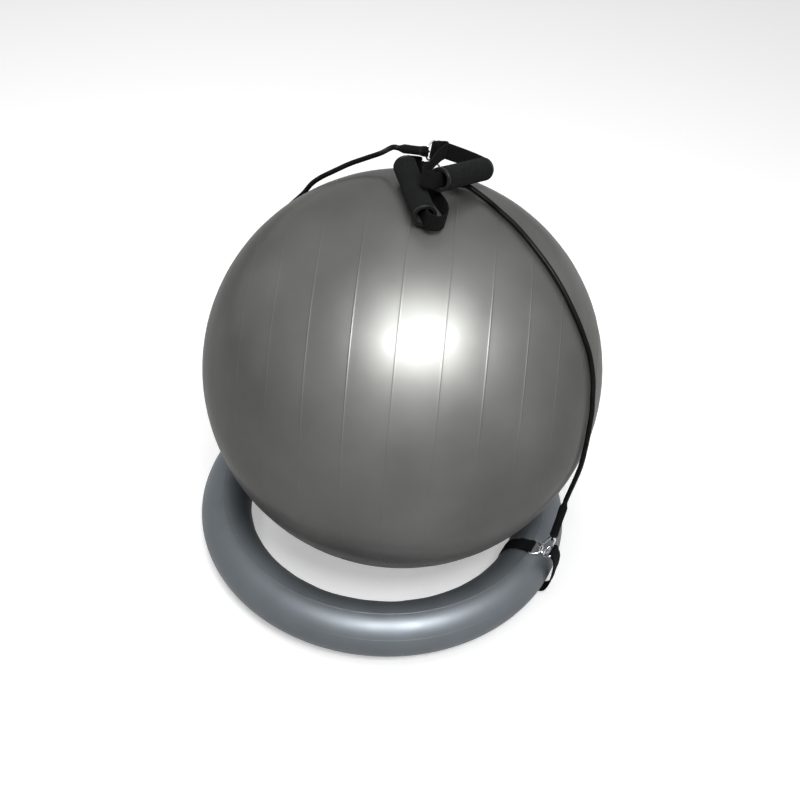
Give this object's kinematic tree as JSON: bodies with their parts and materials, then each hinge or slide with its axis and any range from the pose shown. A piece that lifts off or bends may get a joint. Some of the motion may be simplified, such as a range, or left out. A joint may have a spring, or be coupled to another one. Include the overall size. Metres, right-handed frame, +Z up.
{
  "type": "exercise ball with base",
  "caption": "Ribbed inflated exercise ball resting in an inflated base ring, with rubber tube bands hooked to webbing straps and ending in foam handles.",
  "frame": {"origin": "middle of the overall footprint, on the floor", "axes": "+Z up; -Y is the front, the side the ring stands out most; +X is to the right seen from the front; the right-hand strap is 26 degrees in front of +X"},
  "size_m": [0.6652, 0.6832, 0.7132],
  "materials": {
    "ball_skin": "glossy soft vinyl with ribs",
    "ring_skin": "semi-gloss soft vinyl",
    "plug": "satin soft plastic",
    "webbing": "woven nylon webbing",
    "sleeve": "stitched fabric sleeve",
    "tube": "smooth latex rubber",
    "foam": "matte closed-cell foam",
    "cap": "satin plastic",
    "grip_tube": "plain extruded plastic",
    "steel": "polished plated wire"
  },
  "bodies": {
    "base": {"base_ring": "ring_skin", "right_anchor_strap": "webbing", "right_hook_body": "steel", "right_lower_sleeve": "sleeve", "right_band_tube": "tube", "left_anchor_strap": "webbing", "left_hook_body": "steel", "left_lower_sleeve": "sleeve", "left_band_tube": "tube"},
    "ball": {"ball_shell": "ball_skin"},
    "ball_plug": {"ball_valve_plug": "plug"},
    "ring_plug": {"base_ring_valve_plug": "plug"},
    "right_inner_ring": {"right_inner_d_ring": "steel"},
    "right_outer_ring": {"right_outer_d_ring": "steel"},
    "right_gate": {"right_hook_gate": "steel", "right_gate_pin": "steel"},
    "right_handle": {"right_upper_sleeve": "sleeve", "right_handle_d_ring": "steel", "right_handle_webbing": "webbing"},
    "right_grip": {"right_grip_core": "grip_tube", "right_grip_foam": "foam", "right_grip_near_cap": "cap", "right_grip_far_cap": "cap"},
    "left_inner_ring": {"left_inner_d_ring": "steel"},
    "left_outer_ring": {"left_outer_d_ring": "steel"},
    "left_gate": {"left_hook_gate": "steel", "left_gate_pin": "steel"},
    "left_handle": {"left_upper_sleeve": "sleeve", "left_handle_d_ring": "steel", "left_handle_webbing": "webbing"},
    "left_grip": {"left_grip_core": "grip_tube", "left_grip_foam": "foam", "left_grip_near_cap": "cap", "left_grip_far_cap": "cap"}
  },
  "joints": [
    {"name": "ball_turn", "type": "hinge", "parent": "base", "child": "ball", "pos_m": [0.00727, 0.01615, 0.324], "axis": [0, 0, 1], "continuous": true},
    {"name": "ball_plug_pull", "type": "slide", "parent": "ball", "child": "ball_plug", "axis": [-0.999, 0.0436, 0], "range_m": [0, 0.02]},
    {"name": "ring_plug_pull", "type": "slide", "parent": "base", "child": "ring_plug", "axis": [0.2588, 0.9659, 0], "range_m": [0, 0.02]},
    {"name": "right_inner_ring_swing", "type": "hinge", "parent": "base", "child": "right_inner_ring", "pos_m": [0.24512, -0.14416, 0.0898], "axis": [-0.4384, -0.8988, 0], "range_deg": [0, 6]},
    {"name": "right_outer_ring_swing", "type": "hinge", "parent": "base", "child": "right_outer_ring", "pos_m": [0.27854, -0.16046, 0.10133], "axis": [0.4384, 0.8988, 0], "range_deg": [0, 6]},
    {"name": "right_gate_open", "type": "hinge", "parent": "base", "child": "right_gate", "pos_m": [0.26724, -0.15495, 0.12189], "axis": [-0.4384, -0.8988, 0], "range_deg": [0, 18], "stiffness_Nm_per_rad": 0.05},
    {"name": "right_handle_pull", "type": "slide", "parent": "base", "child": "right_handle", "axis": [-0.9927, 0, 0.1203], "range_m": [0, 0.25], "stiffness_N_per_m": 60, "deforming": ["right_band_tube"]},
    {"name": "right_grip_spin", "type": "hinge", "parent": "right_handle", "child": "right_grip", "pos_m": [0.00699, 0.00057, 0.66725], "axis": [-0.2535, 0.9663, 0.0436], "continuous": true},
    {"name": "left_inner_ring_swing", "type": "hinge", "parent": "base", "child": "left_inner_ring", "pos_m": [-0.26625, 0.10525, 0.0898], "axis": [0.4384, 0.8988, 0], "range_deg": [0, 6]},
    {"name": "left_outer_ring_swing", "type": "hinge", "parent": "base", "child": "left_outer_ring", "pos_m": [-0.29967, 0.12155, 0.10133], "axis": [-0.4384, -0.8988, 0], "range_deg": [0, 6]},
    {"name": "left_gate_open", "type": "hinge", "parent": "base", "child": "left_gate", "pos_m": [-0.28837, 0.11604, 0.12189], "axis": [0.4384, 0.8988, 0], "range_deg": [0, 18], "stiffness_Nm_per_rad": 0.05},
    {"name": "left_handle_pull", "type": "slide", "parent": "base", "child": "left_handle", "axis": [0, 0, 1], "range_m": [0, 0.25], "stiffness_N_per_m": 60, "deforming": ["left_band_tube"]},
    {"name": "left_grip_spin", "type": "hinge", "parent": "left_handle", "child": "left_grip", "pos_m": [0.07427, 0.03665, 0.678], "axis": [0.5094, 0.8152, -0.2756], "continuous": true}
  ]
}
